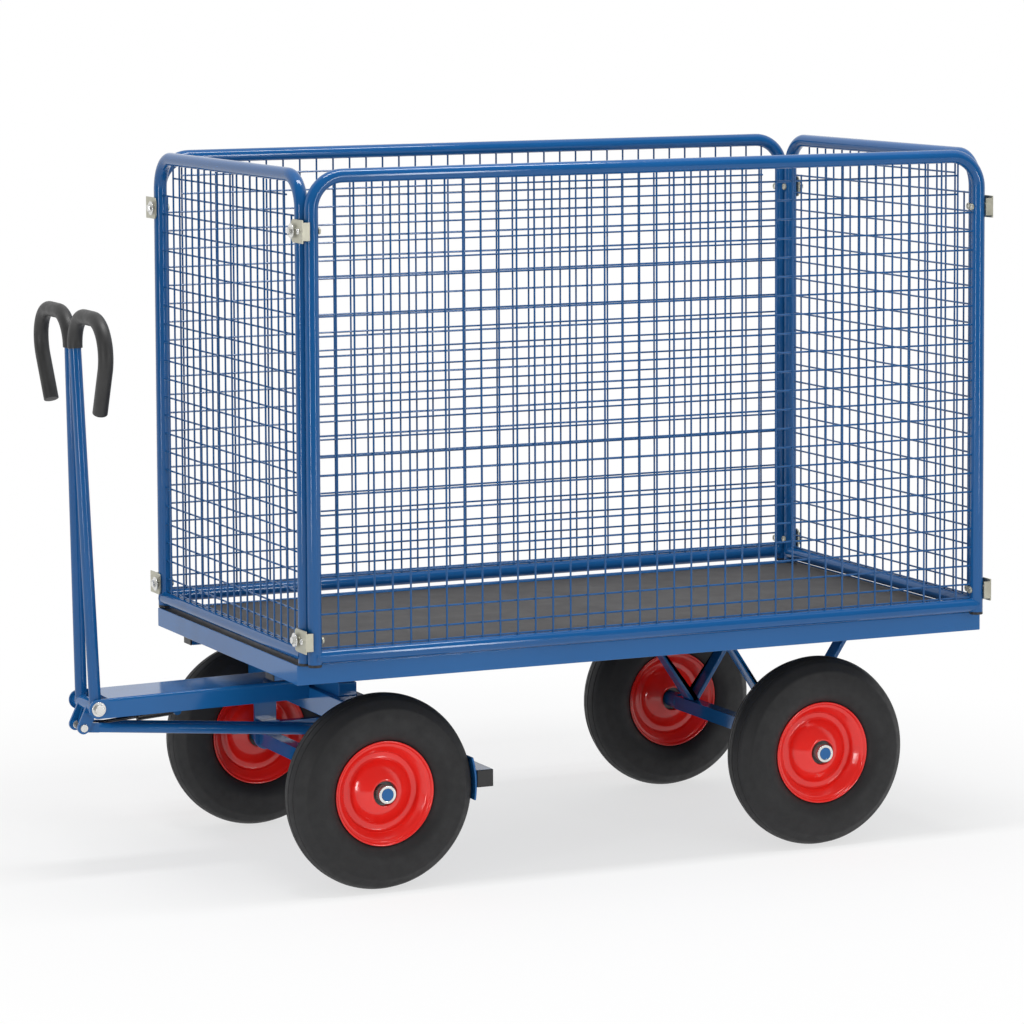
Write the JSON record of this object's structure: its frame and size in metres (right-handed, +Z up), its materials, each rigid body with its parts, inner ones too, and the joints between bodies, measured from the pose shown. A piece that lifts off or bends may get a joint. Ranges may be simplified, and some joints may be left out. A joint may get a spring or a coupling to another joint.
{
  "type": "mesh-sided platform trolley",
  "caption": "Hand-drawn platform trolley with wire-mesh walls, pneumatic wheels, turntable steering and a tiller whose levers work a brake on the front tyres.",
  "frame": {"origin": "on the floor under the middle of the trolley's overall length and width", "axes": "+X forward towards the drawbar and tiller, +Y to the left, +Z up"},
  "size_m": [1.9176, 0.888, 1.462],
  "materials": {
    "blue_paint": "gentian-blue powder coat, satin",
    "deck_ply": "dark film-faced anti-slip plywood",
    "black_plastic": "moulded, matt",
    "zinc": "bright zinc plate",
    "turntable_steel": "greased dark steel",
    "tyre_rubber": "black rubber, matt",
    "red_rim": "red gloss paint on pressed steel",
    "bearing_steel": "greased roller bearing",
    "grip_rubber": "black soft grip",
    "spring_black": "black enamel",
    "spring_rod_steel": "black nitrided"
  },
  "bodies": {
    "chassis": {"platform_frame": "blue_paint", "deck_board": "deck_ply", "left_chassis_beam": "blue_paint", "right_chassis_beam": "blue_paint", "chassis_beam_caps": "black_plastic", "left_wall_frame": "blue_paint", "right_wall_frame": "blue_paint", "front_wall_frame": "blue_paint", "rear_wall_frame": "blue_paint", "left_wall_mesh": "blue_paint", "right_wall_mesh": "blue_paint", "front_wall_mesh": "blue_paint", "rear_wall_mesh": "blue_paint", "wall_leg_plugs": "black_plastic", "corner_brackets": "zinc", "bracket_bolts": "zinc", "bracket_nuts": "zinc", "rear_axle": "blue_paint", "rear_axle_rings": "zinc", "left_rear_strut": "blue_paint", "right_rear_strut": "blue_paint", "turntable_carrier": "blue_paint", "turntable_upper_ring": "turntable_steel"},
    "carriage": {"turntable_lower_ring": "turntable_steel", "king_pin": "zinc", "front_cross_member": "blue_paint", "left_post": "blue_paint", "right_post": "blue_paint", "front_axle": "blue_paint", "front_axle_rings": "zinc", "brake_guides": "blue_paint", "drawbar": "blue_paint", "pivot_bolt_and_nut": "zinc", "spring_bracket": "blue_paint"},
    "tiller": {"tiller_cross_tube": "blue_paint", "left_tiller_tube": "blue_paint", "right_tiller_tube": "blue_paint", "left_grip": "grip_rubber", "right_grip": "grip_rubber", "lever_pins": "zinc"},
    "rods": {"brake_rods": "blue_paint", "rod_rear_pins": "zinc"},
    "brake": {"brake_beam": "blue_paint", "brake_arms": "blue_paint", "brake_caps": "black_plastic", "brake_shoes": "blue_paint"},
    "spring_cylinder": {"gas_spring_cylinder": "spring_black"},
    "spring_rod": {"gas_spring_rod": "spring_rod_steel"},
    "front_left_wheel": {"front_left_tyre": "tyre_rubber", "front_left_rim": "red_rim", "front_left_bearings": "bearing_steel"},
    "front_right_wheel": {"front_right_tyre": "tyre_rubber", "front_right_rim": "red_rim", "front_right_bearings": "bearing_steel"},
    "rear_left_wheel": {"rear_left_tyre": "tyre_rubber", "rear_left_rim": "red_rim", "rear_left_bearings": "bearing_steel"},
    "rear_right_wheel": {"rear_right_tyre": "tyre_rubber", "rear_right_rim": "red_rim", "rear_right_bearings": "bearing_steel"}
  },
  "joints": [
    {"name": "steering", "type": "hinge", "parent": "chassis", "child": "carriage", "pos_m": [0.42115, 0, 0.41], "axis": [0, 0, 1], "range_deg": [-90, 90]},
    {"name": "front_left_wheel_spin", "type": "hinge", "parent": "carriage", "child": "front_left_wheel", "pos_m": [0.42115, 0.342, 0.2], "axis": [0, 1, 0], "continuous": true},
    {"name": "front_right_wheel_spin", "type": "hinge", "parent": "carriage", "child": "front_right_wheel", "pos_m": [0.42115, -0.342, 0.2], "axis": [0, 1, 0], "continuous": true},
    {"name": "rear_left_wheel_spin", "type": "hinge", "parent": "chassis", "child": "rear_left_wheel", "pos_m": [-0.57885, 0.342, 0.2], "axis": [0, 1, 0], "continuous": true},
    {"name": "rear_right_wheel_spin", "type": "hinge", "parent": "chassis", "child": "rear_right_wheel", "pos_m": [-0.57885, -0.342, 0.2], "axis": [0, 1, 0], "continuous": true},
    {"name": "tiller_swing", "type": "hinge", "parent": "carriage", "child": "tiller", "pos_m": [0.91815, 0, 0.358], "axis": [0, 1, 0], "range_deg": [0, 60], "stiffness_Nm_per_rad": 40, "springref_deg": -14.32},
    {"name": "rods_swing", "type": "hinge", "parent": "tiller", "child": "rods", "pos_m": [0.93815, 0, 0.315], "axis": [0, 1, 0], "range_deg": [-61, 0]},
    {"name": "brake_slide", "type": "slide", "parent": "carriage", "child": "brake", "axis": [1, 0, 0], "range_m": [-0.0475, 0]},
    {"name": "spring_swing", "type": "hinge", "parent": "carriage", "child": "spring_cylinder", "pos_m": [0.72772, 0, 0.33089], "axis": [0, 1, 0], "range_deg": [-2.9, 0]},
    {"name": "spring_stroke", "type": "slide", "parent": "spring_cylinder", "child": "spring_rod", "axis": [0.9973, 0, -0.0733], "range_m": [-0.044, 0]}
  ],
  "couplings": [
    {"joint": "rods_swing", "follows": "tiller_swing", "ratio": -1.0055},
    {"joint": "brake_slide", "follows": "tiller_swing", "m_per_rad": -0.044864},
    {"joint": "spring_swing", "follows": "tiller_swing", "ratio": -0.04457},
    {"joint": "spring_stroke", "follows": "tiller_swing", "m_per_rad": -0.040931}
  ]
}
